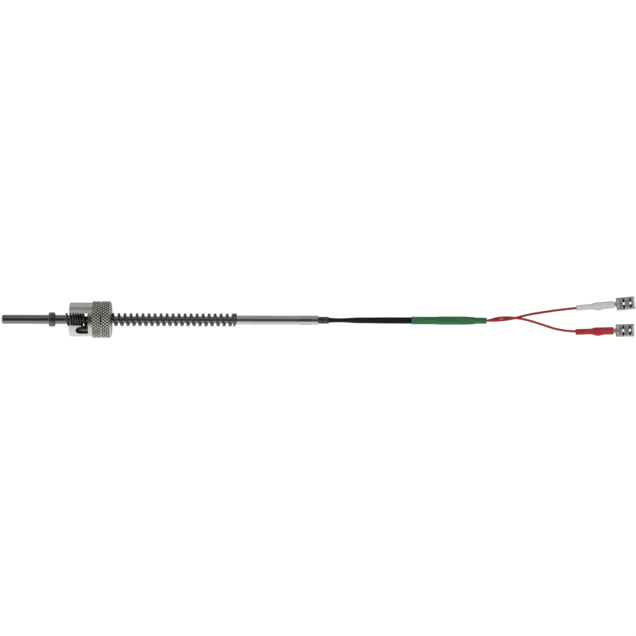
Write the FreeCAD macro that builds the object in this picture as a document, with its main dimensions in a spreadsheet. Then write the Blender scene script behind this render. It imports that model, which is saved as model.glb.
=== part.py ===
import FreeCAD, Part

import math
import os
import re

import Sketcher

# A spring-loaded bayonet thermocouple. Millimetres, +Z up. The probe's axis is X: the closed
# tip points to -X, the leads leave to +X, and the origin is the centre of the stop collar's
# front face, which is where the probe bottoms on the seat that it is pushed into.

Vector = FreeCAD.Vector
X_AXIS = Vector(1, 0, 0)
EDGE_TOLERANCE = 0.02
VOLUME_TOLERANCE = 0.02
POINTS_PER_TURN = 12
PITCH_BLEND = 3

# ---------------------------------------------------------------- driving dimensions

SIZES = [
    # Probe tube and stop collar
    ("tip_length", 21.2, "closed tip to the stop collar's front face"),
    ("tip_round", 0.9, "edge radius of the closed tip"),
    ("tube_wall", 0.5, "front tube"),
    ("tube_end_wall", 0.9, "thickness of the closed end"),
    ("shoulder_start", 7.3, "collar's front face to the spring shoulder"),
    ("spigot_step", 0.09, "front tube's turned-down end below its outside"),
    ("spigot_spare", 0.05, "turned-down end past the closed coils on it"),
    ("collar_length", 2.8, "stop collar"),
    ("collar_height", 1.15, "stop collar above the front tube"),
    ("collar_chamfer", 0.35, "stop collar, both edges"),
    ("collar_seat", 0.2, "groove in the front tube that the collar is swaged into"),
    # Mineral-insulated core
    ("sheath_radius", 1.5, "outside of the core's sheath"),
    ("sheath_wall", 0.3, "core's sheath"),
    ("sheath_play", 0.05, "radial clearance of the core in the front tube"),
    ("sheath_in_rear", 16.2, "rear tube's start to the open end of the sheath"),
    ("junction_length", 1.1, "welded hot junction"),
    ("wire_radius", 0.22, "thermocouple wire"),
    ("wire_offset", 0.5, "thermocouple wire from the axis"),
    ("wires_in_rear", 21.7, "rear tube's start to the wires' joint"),
    # Spring
    ("spring_wire_radius", 0.525, "spring wire"),
    ("coil_grip", 0.035, "closed coils clear of the turned-down end that they grip"),
    ("coil_seat", 0.055, "first coil clear of the shoulder that it seats on"),
    ("lead_in_gap", 0.65, "between the first two turns"),
    ("closed_gap", 0.08, "between close-wound turns"),
    ("closed_turns", 5, "close-wound turns"),
    ("open_pitch", 2.6955, "working turns"),
    ("open_turns", 25, "working turns"),
    ("last_turns", 1, "close-wound turn at the rear tube"),
    # Bayonet cap
    ("cap_front", 9.4, "collar's front face to the cap's mouth"),
    ("cap_body_length", 10.3, "mouth to the knurl"),
    ("cap_bore_radius", 6.1, "bore that takes the adapter"),
    ("cap_wall", 1.55, "cap's plain body"),
    ("cap_bore_depth", 12.1, "mouth to the end wall"),
    ("cap_edge", 0.35, "chamfer at the mouth"),
    ("knurl_rise", 0.65, "knurl's points above the plain body"),
    ("knurl_band", 3.6, "length of each knurled band"),
    ("knurl_gap", 0.65, "plain groove between the bands"),
    ("knurl_groove_depth", 0.4, "groove below the knurl's points"),
    ("knurl_edge", 0.3, "chamfer of the bands"),
    ("rim_length", 0.55, "plain rim behind the knurl"),
    ("rim_rise", 0.05, "that rim above the plain body"),
    ("thread_depth", 0.295, "cap's spring thread, from its crest to past the wire's middle"),
    ("thread_first_turn", 1, "open turns of the spring before the thread's cutter starts"),
    ("thread_turns", 5, "turns that the thread's cutter makes"),
    ("thread_play", 0.1, "round the spring wire in the cap's thread"),
    ("thread_countersink", 0.6, "at the cap's back face"),
    # Bayonet slots
    ("slot_width", 5.4, "entry channel for the adapter's pin"),
    ("slot_depth", 8.5, "mouth to the bottom of the channel"),
    ("slot_turn_width", 3.1, "channel round the cap"),
    ("slot_turn_angle", 20.0, "middle of that channel, from the entry"),
    ("slot_turn_reach", 5.1, "length of that channel's cut"),
    ("seat_angle", 41.0, "middle of the pin's seat, from the entry"),
    ("seat_width", 4.1, "across the pin's seat"),
    ("seat_length", 5.6, "pin's seat, along the axis"),
    # Rear tube and what it holds
    ("rear_length", 36.87, "rear tube"),
    ("rear_seat", 0.075, "outside of the rear tube past the inside of the coil that seats on it"),
    ("rear_nose", 0.44, "how far the rear tube's chamfered nose goes into that coil"),
    ("rear_play", 0.1, "radial clearance of the sheath in the rear tube"),
    ("rear_chamfer", 0.35, "rear tube's front edge"),
    ("lip_flare", 0.13, "flared lip past the rear tube's outside"),
    ("lip_length", 2.0, "flared lip"),
    ("crimp_from_end", 8.3, "crimp's start to the rear tube's back end"),
    ("crimp_length", 5.6, "crimp"),
    ("crimp_depth", 0.16, "each crimp flat below the tube's surface"),
    ("crimp_width", 1.1, "each crimp flat"),
    ("crimp_count", 6, "flats round the tube"),
    ("potting_start", 6.2, "rear tube's start to the potting"),
    ("insulator_length", 11.2, "two-bore insulator"),
    ("insulator_gap", 0.3, "sheath's end to the insulator"),
    ("insulator_play", 0.02, "round the wires and conductors in the insulator"),
    ("end_sleeve_in_rear", 8.4, "clear sleeve's start to the rear tube's back end"),
    ("end_sleeve_length", 13.2, "clear sleeve"),
    ("end_sleeve_wall", 0.2, "clear sleeve"),
    ("end_sleeve_play", 0.02, "round the cable in the clear sleeve, and round the sleeve"),
    # Cable
    ("cable_width", 2.7, "flat cable, across both cores"),
    ("cable_thickness", 1.9, "flat cable"),
    ("conductor_radius", 0.3, "cable conductor"),
    ("conductor_pitch", 1.24, "between the cable's conductors"),
    ("conductor_play", 0.03, "round each conductor in the jacket"),
    ("conductor_end", 181.2, "collar's front face to the conductors' far ends"),
    # Joint sleeve and splices
    ("tail_level", -6.43, "height of the joint sleeve's axis"),
    ("joint_start", 162.8, "collar's front face to the joint sleeve"),
    ("splice_start", 177.4, "collar's front face to the splice barrels"),
    ("joint_length", 33.8, "joint sleeve"),
    ("joint_play", 0.12, "radial clearance of the cable in the joint sleeve"),
    ("joint_swell_play", 0.07, "radial clearance of the splices in it"),
    ("joint_tail_play", 0.15, "radial clearance of the two leads in it"),
    ("joint_wall", 0.25, "joint sleeve"),
    ("joint_swell_margin", 1.6, "how far the swelling runs past the splices"),
    ("joint_slope", 2.7, "length of each change of the sleeve's radius"),
    ("splice_length", 8.0, "splice barrel"),
    ("splice_radius", 0.75, "splice barrel"),
    ("splice_gap", 0.1, "between the splice barrels"),
    ("splice_play", 0.02, "round the conductor in its splice"),
    # Leads, boots and receptacles
    ("lead_radius", 0.5, "lead, over its insulation"),
    ("strand_radius", 0.25, "lead's stranded core"),
    ("strand_play", 0.03, "round the core in the insulation"),
    ("strand_short", 0.6, "core's end back from the conductor barrel's end"),
    ("boot_short", 0.3, "boot's mouth back from the conductor barrel's end"),
    ("boot_entry_play", 0.36, "round the lead at the boot's entry"),
    ("boot_swell_play", 0.06, "round the insulation barrel"),
    ("boot_mouth_play", 0.16, "round the conductor barrel"),
    ("boot_wall", 0.34, "both boots"),
    ("boot_swell_margin", 0.35, "how far the boot's swelling runs past the insulation barrel"),
    ("boot_slope", 1.4, "length of each change of the boot's radius"),
    ("red_boot_extra", 0.04, "how much fatter the red boot is"),
    ("grip_start", 7.6, "boot's end to the insulation barrel"),
    ("grip_length", 4.2, "insulation barrel"),
    ("grip_radius", 1.3, "insulation barrel"),
    ("crimp_play", 0.03, "round the lead and its core in the barrels"),
    ("barrel_start", 12.4, "boot's end to the conductor barrel"),
    ("barrel_length", 4.9, "conductor barrel"),
    ("barrel_radius", 1.05, "conductor barrel"),
    ("bridge_width", 1.0, "strip that joins the barrels"),
    ("grip_overlap", 0.4, "how far that strip runs along the insulation barrel"),
    ("barrel_overlap", 0.8, "how far a strip runs along the conductor barrel"),
    ("bridge_drop", 0.06, "that strip below the barrel's outside"),
    ("neck_length", 0.9, "conductor barrel's end to the receptacle's box"),
    ("neck_overlap", 0.4, "how far the neck runs into the box"),
    ("box_length", 8.2, "receptacle's box"),
    ("box_width", 5.3, "receptacle's box"),
    ("box_height", 2.5, "receptacle's box"),
    ("box_top", 0.75, "box's plate above the lead's axis"),
    ("sheet_thickness", 0.35, "receptacle's strip"),
    ("curl_gap", 1.0, "between the two curls"),
    ("curl_radius", 0.6, "outside of each curl's turned-up edge"),
    ("blade_thickness", 0.8, "tab that the receptacle takes"),
    ("window_width", 0.8, "cross slots in the plate, along the lead"),
    ("window_length", 4.2, "cross slots in the plate, across"),
    ("window_first", 3.2, "box's start to the first cross slot's middle"),
    ("window_pitch", 3.0, "between the cross slots"),
    ("window_over", 0.1, "slots' cutter past both faces of the plate"),
]

# The cable and the leads lie free. Their points are chosen by hand, and don't follow the sizes.
CABLE_POINTS = [
    (119.0, 0.0, 0.0),
    (131.5, 0.0, 0.0),
    (144.0, 0.0, -3.0),
    (153.5, 0.0, -6.0),
    (161.0, 0.0, -6.43),
    (168.2, 0.0, -6.43),
]
WHITE_BRANCH_POINTS = [
    (185.6, 0.80, -6.43),
    (189.2, 0.80, -6.43),
    (193.2, 0.36, -5.98),
    (197.4, -0.02, -5.88),
    (202.6, 0.10, -6.62),
    (208.8, 0.95, -7.76),
    (215.2, 2.78, -7.72),
    (222.5, 3.95, -7.68),
    (229.9, 5.05, -7.50),
    (238.59, 5.994, -6.55),
    (247.05, 6.808, -6.55),
]
RED_BRANCH_POINTS = [
    (185.6, -0.80, -6.43),
    (189.2, -0.80, -6.43),
    (193.2, -0.36, -6.88),
    (197.4, 0.02, -7.02),
    (202.6, 1.56, -7.22),
    (208.8, 1.46, -6.38),
    (214.8, 0.50, -7.00),
    (221.2, -1.50, -7.70),
    (229.3, -4.15, -7.50),
    (238.30, -4.898, -6.55),
    (246.79, -4.601, -6.55),
]
# Where each boot starts, and how far it is turned from the probe's axis.
WHITE_BRANCH_PLACE = (Vector(237.1, 5.85, -6.55), 5.5)
RED_BRANCH_PLACE = (Vector(236.8, -4.95, -6.55), 2.0)

doc = FreeCAD.newDocument("Thermocouple")
sheet = doc.addObject("Spreadsheet::Sheet", "Sizes")
for row, (alias, value, note) in enumerate(SIZES, start=1):
    sheet.set(f"A{row}", alias)
    sheet.set(f"B{row}", str(value))
    sheet.setAlias(f"B{row}", alias)
    sheet.set(f"C{row}", note)
doc.recompute()

ALIASES = {alias for alias, _, _ in SIZES}
PARTS = []

# ---------------------------------------------------------------- places that follow from the sizes

TUBE_BORE = "(sheath_radius + sheath_play)"
TUBE_RADIUS = f"({TUBE_BORE} + tube_wall)"
SPIGOT_RADIUS = f"({TUBE_RADIUS} - spigot_step)"
COLLAR_RADIUS = f"({TUBE_RADIUS} + collar_height)"
COLLAR_BORE = f"({TUBE_RADIUS} - collar_seat)"
COIL_INSIDE = f"({SPIGOT_RADIUS} + coil_grip)"
COIL_RADIUS = f"({COIL_INSIDE} + spring_wire_radius)"
LEAD_IN_PITCH = "(2 * spring_wire_radius + lead_in_gap)"
CLOSED_PITCH = "(2 * spring_wire_radius + closed_gap)"
CLOSED_LENGTH = f"({LEAD_IN_PITCH} + {CLOSED_PITCH} * closed_turns)"
COIL_FRONT = "(shoulder_start + coil_seat + spring_wire_radius)"
OPEN_START = f"({COIL_FRONT} + {CLOSED_LENGTH})"
COIL_BACK = f"({OPEN_START} + open_pitch * open_turns + {CLOSED_PITCH} * last_turns)"
CAP_RADIUS = "(cap_bore_radius + cap_wall)"
KNURL_RADIUS = f"({CAP_RADIUS} + knurl_rise)"
THREAD_CREST = f"({COIL_RADIUS} + spring_wire_radius - thread_depth)"
REAR_START = f"({COIL_BACK} + spring_wire_radius - rear_nose)"
REAR_RADIUS = f"({COIL_INSIDE} + rear_seat)"
FRONT_BORE = "(sheath_radius + rear_play)"
SHEATH_END = f"({REAR_START} + sheath_in_rear)"
WIRE_END = f"({REAR_START} + wires_in_rear)"
CRIMP_START = "(rear_length - crimp_from_end)"
END_SLEEVE_START = "(rear_length - end_sleeve_in_rear)"
END_SLEEVE_BORE = "(cable_width / 2 + end_sleeve_play)"
END_SLEEVE_RADIUS = f"({END_SLEEVE_BORE} + end_sleeve_wall)"
BACK_BORE = f"({END_SLEEVE_RADIUS} + end_sleeve_play)"
SPLICE_SIDE = "(splice_radius + splice_gap / 2)"
JOINT_RADIUS = "(cable_width / 2 + joint_play + joint_wall)"
SWELL_RADIUS = f"({SPLICE_SIDE} + splice_radius + joint_swell_play + joint_wall)"
TAIL_RADIUS = "(2 * lead_radius + joint_tail_play + joint_wall)"
BARREL_END = "(barrel_start + barrel_length)"
BOX_START = f"({BARREL_END} + neck_length)"

# ---------------------------------------------------------------- helpers


def bound(expression):
    """The expression with each size's name pointing at its cell."""
    return re.sub(r"[a-z_]+", lambda m: f"Sizes.{m[0]}" if m[0] in ALIASES else m[0], expression)


def size(expression):
    """The expression's value now."""
    return float(sheet.evalExpression(bound(expression)))


def new_body(label):
    body = doc.addObject("PartDesign::Body", label)
    body.Label = label
    PARTS.append(body)
    return body


def place(part, along="0", across="0", up="0"):
    """Ties a part's position to the sheet."""
    for axis, expression in zip("xyz", (along, across, up)):
        part.setExpression(f"Placement.Base.{axis}", bound(expression))


def origin_feature(body, role):
    return next(feature for feature in body.Origin.OriginFeatures if feature.Role == role)


def new_sketch(body, role, turn=0.0, offset="0"):
    """A sketch on one of the body's origin planes, turned about its own X, or moved off it."""
    sketch = body.newObject("Sketcher::SketchObject", body.Name + "_sketch")
    sketch.AttachmentSupport = [(origin_feature(body, role), "")]
    sketch.MapMode = "FlatFace"
    sketch.AttachmentOffset = FreeCAD.Placement(Vector(), FreeCAD.Rotation(X_AXIS, turn))
    sketch.setExpression("AttachmentOffset.Base.z", bound(offset))
    return sketch


def tie(sketch, kind, edge, end, expression):
    """Holds a sketch point at a distance from the origin that comes from the sheet."""
    if expression == "0":
        line = -1 if kind == "DistanceY" else -2
        sketch.addConstraint(Sketcher.Constraint("PointOnObject", edge, end, line))
        return
    here = Sketcher.Constraint(kind, -1, 1, edge, end, size(expression))
    sketch.setExpression(f"Constraints[{sketch.addConstraint(here)}]", bound(expression))


def outline(sketch, corners):
    """A closed outline through corners whose places are expressions."""
    spots = [Vector(size(u), size(v), 0) for u, v in corners]
    count = len(corners)
    first = sketch.GeometryCount
    for index in range(count):
        following = spots[(index + 1) % count]
        sketch.addGeometry(Part.LineSegment(spots[index], following))
    for index in range(count):
        joined = Sketcher.Constraint(
            "Coincident", first + index, 2, first + (index + 1) % count, 1
        )
        sketch.addConstraint(joined)
    for index, (u, v) in enumerate(corners):
        tie(sketch, "DistanceX", first + index, 1, u)
        tie(sketch, "DistanceY", first + index, 1, v)


def circle(sketch, radius, u="0", v="0"):
    """A circle whose radius and centre are expressions."""
    middle = Vector(size(u), size(v), 0)
    edge = sketch.addGeometry(Part.Circle(middle, Vector(0, 0, 1), size(radius)))
    tie(sketch, "DistanceX", edge, 3, u)
    tie(sketch, "DistanceY", edge, 3, v)
    held = sketch.addConstraint(Sketcher.Constraint("Radius", edge, size(radius)))
    sketch.setExpression(f"Constraints[{held}]", bound(radius))


def revolve(body, corners):
    """Adds the solid that (along, radius) corners sweep about the body's X axis."""
    sketch = new_sketch(body, "XY_Plane")
    outline(sketch, corners)
    turned_solid = body.newObject("PartDesign::Revolution", body.Name + "_turned")
    turned_solid.Profile = sketch
    turned_solid.ReferenceAxis = (sketch, ["H_Axis"])
    turned_solid.Angle = 360
    return turned_solid


def turned(label, corners, along=None, across="0", up="0"):
    """A turned piece, with its own X = 0 at the given place where there is one."""
    body = new_body(label)
    revolve(body, corners)
    if along is not None:
        place(body, along, across, up)
    return body


def tube_outline(radius, bore, length):
    return [("0", bore), ("0", radius), (length, radius), (length, bore)]


def tube(label, radius, bore, length, along, across="0", up="0"):
    return turned(label, tube_outline(radius, bore, length), along, across, up)


def pocket(body, sketch, depth=None):
    """Cuts the sketch away from the sketch's plane outwards, or all the way through."""
    cut = body.newObject("PartDesign::Pocket", body.Name + "_cut")
    cut.Profile = sketch
    cut.Reversed = True
    if depth is None:
        cut.Type = "ThroughAll"
    else:
        cut.setExpression("Length", bound(depth))
    return cut


def round_the_axis(body, features, count):
    """Repeats the features evenly round the body's X axis."""
    pattern = body.newObject("PartDesign::PolarPattern", body.Name + "_pattern")
    pattern.Originals = features
    pattern.Axis = (origin_feature(body, "X_Axis"), [""])
    pattern.Angle = 360
    pattern.setExpression("Occurrences", bound(count))
    body.Tip = pattern
    return pattern


def shaped(label, shape, spot=Vector(), turn=0.0):
    """A piece whose shape comes from Part's own functions, turned about Z and placed."""
    part = doc.addObject("Part::Feature", label)
    part.Label = label
    part.Shape = shape
    part.Placement = FreeCAD.Placement(spot, FreeCAD.Rotation(Vector(0, 0, 1), turn))
    PARTS.append(part)
    return part


def cord_path(points, label=""):
    """Straight runs joined by tangent arcs, each arc as large as its two runs allow."""
    spots = [Vector(*point) for point in points]
    edges = []
    begin = spots[0]
    radii = []
    for before, corner, after in zip(spots, spots[1:], spots[2:]):
        back = (before - corner).normalize()
        on = (after - corner).normalize()
        half_turn = (math.pi - back.getAngle(on)) / 2
        reach = 0.45 * min((before - corner).Length, (after - corner).Length)
        radius = reach / math.tan(half_turn)
        radii.append(round(radius, 1))
        inward = (back + on).normalize()
        middle = corner + inward * (radius / math.cos(half_turn) - radius)
        arc_start = corner + back * reach
        arc_end = corner + on * reach
        edges.append(Part.LineSegment(begin, arc_start).toShape())
        edges.append(Part.Arc(arc_start, middle, arc_end).toShape())
        begin = arc_end
    edges.append(Part.LineSegment(begin, spots[-1]).toShape())
    if label:
        print(f"{label}: bend radii {radii} mm")
    return Part.Wire(edges)


def disc(radius, spot, direction):
    return Part.Face(Part.Wire([Part.Circle(spot, direction, radius).toShape()]))


def check_swept(label, solid, path, area):
    """A swept solid's volume is its section's area times its path's length."""
    expected = area * path.Length
    if not solid.isValid() or abs(solid.Volume - expected) > VOLUME_TOLERANCE * expected:
        raise RuntimeError(f"{label}: volume {solid.Volume:.2f}, expected {expected:.2f}")
    print(f"{label}: length {path.Length:.1f} mm, volume {solid.Volume:.2f} of {expected:.2f} mm3")


def swept(label, path, section):
    """The section's solid along the path."""
    solid = path.makePipe(section)
    check_swept(label, solid, path, section.Area)
    return solid


# ---------------------------------------------------------------- probe


def make_front_tube():
    """Closed steel tube that protects the core's tip; its far end is turned down for the spring."""
    shoulder = "tip_length + shoulder_start"
    end = f"{shoulder} + {CLOSED_LENGTH} + spigot_spare"
    body = new_body("front_tube")
    base = revolve(
        body,
        [
            ("0", "0"),
            ("0", TUBE_RADIUS),
            ("tip_length", TUBE_RADIUS),
            ("tip_length", COLLAR_BORE),
            ("tip_length + collar_length", COLLAR_BORE),
            ("tip_length + collar_length", TUBE_RADIUS),
            (shoulder, TUBE_RADIUS),
            (shoulder, SPIGOT_RADIUS),
            (end, SPIGOT_RADIUS),
            (end, TUBE_BORE),
            ("tube_end_wall", TUBE_BORE),
            ("tube_end_wall", "0"),
        ],
    )
    doc.recompute()
    tip_edge = next(
        index
        for index, edge in enumerate(base.Shape.Edges, start=1)
        if edge.BoundBox.XMax < EDGE_TOLERANCE and edge.BoundBox.YMax > size("tip_round")
    )
    rounded = body.newObject("PartDesign::Fillet", "front_tube_tip")
    rounded.Base = (base, [f"Edge{tip_edge}"])
    rounded.setExpression("Radius", bound("tip_round"))
    place(body, "-tip_length")


def make_stop_collar():
    """Ring swaged into the tube's groove: it bottoms on the seat and holds the cap back."""
    turned(
        "stop_collar",
        [
            ("0", COLLAR_BORE),
            ("0", f"{COLLAR_RADIUS} - collar_chamfer"),
            ("collar_chamfer", COLLAR_RADIUS),
            ("collar_length - collar_chamfer", COLLAR_RADIUS),
            ("collar_length", f"{COLLAR_RADIUS} - collar_chamfer"),
            ("collar_length", COLLAR_BORE),
        ],
    )


def make_core():
    """Mineral-insulated core: sheath, welded junction, two wires and the powder round them."""
    sheath_start = "tube_end_wall - tip_length"
    sheath_length = f"{SHEATH_END} - ({sheath_start})"
    bore = "sheath_radius - sheath_wall"
    turned(
        "core_sheath",
        [
            ("0", "0"),
            ("0", "sheath_radius"),
            (sheath_length, "sheath_radius"),
            (sheath_length, bore),
            ("sheath_wall", bore),
            ("sheath_wall", "0"),
        ],
        sheath_start,
    )
    junction_start = f"{sheath_start} + sheath_wall"
    wires_start = f"{junction_start} + junction_length"
    turned(
        "hot_junction",
        [("0", "0"), ("0", bore), ("junction_length", bore), ("junction_length", "0")],
        junction_start,
    )
    for pole, side in (("positive", "1"), ("negative", "-1")):
        wire = doc.addObject("Part::Cylinder", f"thermowire_{pole}")
        wire.Label = f"thermowire_{pole}"
        wire.setExpression("Radius", bound("wire_radius"))
        wire.setExpression("Height", bound(f"{WIRE_END} - ({wires_start})"))
        wire.Placement.Rotation = FreeCAD.Rotation(Vector(0, 1, 0), 90)
        place(wire, wires_start, f"{side} * wire_offset")
        PARTS.append(wire)

    powder = new_body("mineral_insulation")
    sketch = new_sketch(powder, "YZ_Plane")
    circle(sketch, bore)
    circle(sketch, "wire_radius", "wire_offset")
    circle(sketch, "wire_radius", "-wire_offset")
    fill = powder.newObject("PartDesign::Pad", "powder_fill")
    fill.Profile = sketch
    fill.setExpression("Length", bound(f"{SHEATH_END} - ({wires_start})"))
    place(powder, wires_start)


# ---------------------------------------------------------------- spring


def spring_stretches():
    """(pitch, turns) of each stretch of the spring, from the front."""
    return [
        (size(LEAD_IN_PITCH), 1),
        (size(CLOSED_PITCH), size("closed_turns")),
        (size("open_pitch"), size("open_turns")),
        (size(CLOSED_PITCH), size("last_turns")),
    ]


def spring_station(turn):
    """How far along X the wire's centre is after so many turns."""
    along = size(COIL_FRONT)
    for pitch, turns in spring_stretches():
        if turn <= turns:
            return along + pitch * turn
        along += pitch * turns
        turn -= turns
    return along


def make_spring():
    """Right-handed spring: closed coils grip the spigot, the last seats on the rear tube."""
    coil_radius = size(COIL_RADIUS)
    wire_radius = size("spring_wire_radius")
    total = sum(turns for _, turns in spring_stretches())
    steps = round(total * POINTS_PER_TURN)
    counts = range(-PITCH_BLEND, steps + PITCH_BLEND + 1)
    stations = [spring_station(min(max(count / POINTS_PER_TURN, 0), total)) for count in counts]
    points = []
    for step in range(steps + 1):
        # The pitch changes over half a turn, so the place is the mean over that half turn.
        nearby = stations[step : step + 2 * PITCH_BLEND + 1]
        angle = 2 * math.pi * step / POINTS_PER_TURN
        across = coil_radius * math.cos(angle)
        points.append(Vector(sum(nearby) / len(nearby), across, coil_radius * math.sin(angle)))
    curve = Part.BSplineCurve()
    curve.interpolate(points)
    start_direction = curve.tangent(curve.FirstParameter)[0]
    ring = Part.Wire([Part.Circle(points[0], start_direction, wire_radius).toShape()])
    path = Part.Wire([curve.toShape()])
    spring = path.makePipeShell([ring], True, True)
    check_swept("compression_spring", spring, path, math.pi * wire_radius**2)
    shaped("compression_spring", spring)


# ---------------------------------------------------------------- bayonet cap


def slot_outline(sketch, start, end, width):
    half = f"({width}) / 2"
    outline(sketch, [(start, f"-{half}"), (end, f"-{half}"), (end, half), (start, half)])


def make_bayonet_cap():
    """Nickel-plated cap: knurled grip, two J slots for the pins, thread for the spring."""
    band_one = "cap_body_length + knurl_band"
    band_two = f"{band_one} + knurl_gap"
    bands_end = f"{band_two} + knurl_band"
    back = f"{bands_end} + rim_length"
    rim_radius = f"{CAP_RADIUS} + rim_rise"
    groove = f"{KNURL_RADIUS} - knurl_groove_depth"
    band_edge = f"{KNURL_RADIUS} - knurl_edge"
    body = new_body("bayonet_cap")
    revolve(
        body,
        [
            ("0", "cap_bore_radius + cap_edge"),
            ("0", f"{CAP_RADIUS} - cap_edge"),
            ("cap_edge", CAP_RADIUS),
            ("cap_body_length", CAP_RADIUS),
            ("cap_body_length", band_edge),
            ("cap_body_length + knurl_edge", KNURL_RADIUS),
            (band_one, KNURL_RADIUS),
            (band_one, groove),
            (band_two, groove),
            (band_two, KNURL_RADIUS),
            (f"{bands_end} - knurl_edge", KNURL_RADIUS),
            (bands_end, band_edge),
            (bands_end, rim_radius),
            (back, rim_radius),
            (back, f"{THREAD_CREST} + thread_countersink"),
            (f"{back} - thread_countersink", THREAD_CREST),
            ("cap_bore_depth", THREAD_CREST),
            ("cap_bore_depth", "cap_bore_radius"),
            ("cap_edge", "cap_bore_radius"),
        ],
    )
    entry = new_sketch(body, "XY_Plane")
    slot_outline(entry, "-cap_edge", "slot_depth", "slot_width")
    entry_cut = pocket(body, entry)
    link = new_sketch(body, "XY_Plane", turn=size("slot_turn_angle"))
    slot_outline(link, "slot_depth - slot_turn_width", "slot_depth", "slot_turn_reach")
    link_cut = pocket(body, link)
    seat_end = "slot_depth - seat_length + seat_width / 2"
    seat = new_sketch(body, "XY_Plane", turn=size("seat_angle"))
    slot_outline(seat, seat_end, "slot_depth", "seat_width")
    seat_cut = pocket(body, seat)
    seat_round = new_sketch(body, "XY_Plane", turn=size("seat_angle"))
    circle(seat_round, "seat_width / 2", seat_end)
    seat_round_cut = pocket(body, seat_round)
    doc.recompute()
    round_the_axis(body, [entry_cut, link_cut, seat_cut, seat_round_cut], "2")

    # The thread starts in the open bore, on one of the spring's turns, and runs out at the back.
    groove_section = new_sketch(body, "XY_Plane")
    circle(
        groove_section,
        "spring_wire_radius + thread_play",
        f"{OPEN_START} + open_pitch * thread_first_turn - cap_front",
        COIL_RADIUS,
    )
    thread = body.newObject("PartDesign::SubtractiveHelix", "spring_thread")
    thread.Profile = groove_section
    thread.ReferenceAxis = (origin_feature(body, "X_Axis"), [""])
    thread.Mode = "pitch-height-angle"
    thread.LeftHanded = False
    thread.setExpression("Pitch", bound("open_pitch"))
    thread.setExpression("Height", bound("open_pitch * thread_turns"))
    place(body, "cap_front")


# ---------------------------------------------------------------- rear tube and what it holds


def make_rear_tube():
    """Steel ferrule over the core's end and the cable's start, crimped on six flats."""
    body = new_body("rear_tube")
    lip_start = "rear_length - lip_length"
    revolve(
        body,
        [
            ("0", FRONT_BORE),
            ("0", f"{REAR_RADIUS} - rear_chamfer"),
            ("rear_chamfer", REAR_RADIUS),
            (lip_start, REAR_RADIUS),
            ("rear_length", f"{REAR_RADIUS} + lip_flare"),
            ("rear_length", BACK_BORE),
            (f"{END_SLEEVE_START} - end_sleeve_play", BACK_BORE),
            (f"{END_SLEEVE_START} - end_sleeve_play", FRONT_BORE),
        ],
    )
    crimp = new_sketch(body, "XY_Plane", offset=f"{REAR_RADIUS} - crimp_depth")
    slot_outline(crimp, CRIMP_START, f"{CRIMP_START} + crimp_length", "crimp_width")
    flat = pocket(body, crimp)
    doc.recompute()
    round_the_axis(body, [flat], "crimp_count")
    place(body, REAR_START)


def make_rear_inside():
    """Potting round the sheath, the insulator where wires meet conductors, and the clear sleeve."""
    tube(
        "potting_compound",
        FRONT_BORE,
        "sheath_radius",
        "sheath_in_rear - potting_start",
        f"{REAR_START} + potting_start",
    )
    # Each bore holds a wire at one end and the wider-set conductor at the other.
    outermost = "(conductor_pitch / 2 + conductor_radius)"
    innermost = "(wire_offset - wire_radius)"
    bore = f"({outermost} - {innermost}) / 2 + insulator_play"
    bore_side = f"({outermost} + {innermost}) / 2"
    insulator = new_body("joint_insulator")
    sketch = new_sketch(insulator, "YZ_Plane")
    circle(sketch, "sheath_radius")
    circle(sketch, bore, bore_side)
    circle(sketch, bore, f"-({bore_side})")
    bead = insulator.newObject("PartDesign::Pad", "insulator_bead")
    bead.Profile = sketch
    bead.setExpression("Length", bound("insulator_length"))
    place(insulator, f"{SHEATH_END} + insulator_gap")
    tube(
        "cable_end_sleeve",
        END_SLEEVE_RADIUS,
        END_SLEEVE_BORE,
        "end_sleeve_length",
        f"{REAR_START} + {END_SLEEVE_START}",
    )


# ---------------------------------------------------------------- cable


def make_cable():
    """Flat twin cable: jacket along the chosen points, and its two conductors."""
    path = cord_path(CABLE_POINTS, "cable_jacket")
    spot = Vector(*CABLE_POINTS[0])
    half_thickness = size("cable_thickness / 2")
    straight = size("(cable_width - cable_thickness) / 2")
    corners = [
        spot + Vector(0, side * straight, height * half_thickness)
        for side, height in ((-1, 1), (1, 1), (1, -1), (-1, -1))
    ]
    round_ends = [spot + Vector(0, side * size("cable_width / 2"), 0) for side in (1, -1)]
    rim = Part.Wire(
        [
            Part.LineSegment(corners[0], corners[1]).toShape(),
            Part.Arc(corners[1], round_ends[0], corners[2]).toShape(),
            Part.LineSegment(corners[2], corners[3]).toShape(),
            Part.Arc(corners[3], round_ends[1], corners[0]).toShape(),
        ]
    )
    section = Part.Face(rim)
    half_pitch = size("conductor_pitch / 2")
    bore = size("conductor_radius + conductor_play")
    for side in (1, -1):
        section = section.cut(disc(bore, spot + Vector(0, side * half_pitch, 0), X_AXIS))
    shaped("cable_jacket", swept("cable_jacket", path, section.Faces[0]))

    for pole, side in (("positive", 1), ("negative", -1)):
        aside = side * half_pitch
        middle = [(x, y + aside, z) for x, y, z in CABLE_POINTS[1:-1]]
        begin = (size(WIRE_END), aside, 0.0)
        end = (size("conductor_end"), aside, CABLE_POINTS[-1][2])
        core_path = cord_path([begin, *middle, end])
        core = disc(size("conductor_radius"), Vector(*begin), X_AXIS)
        name = f"cable_conductor_{pole}"
        shaped(name, swept(name, core_path, core))


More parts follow.
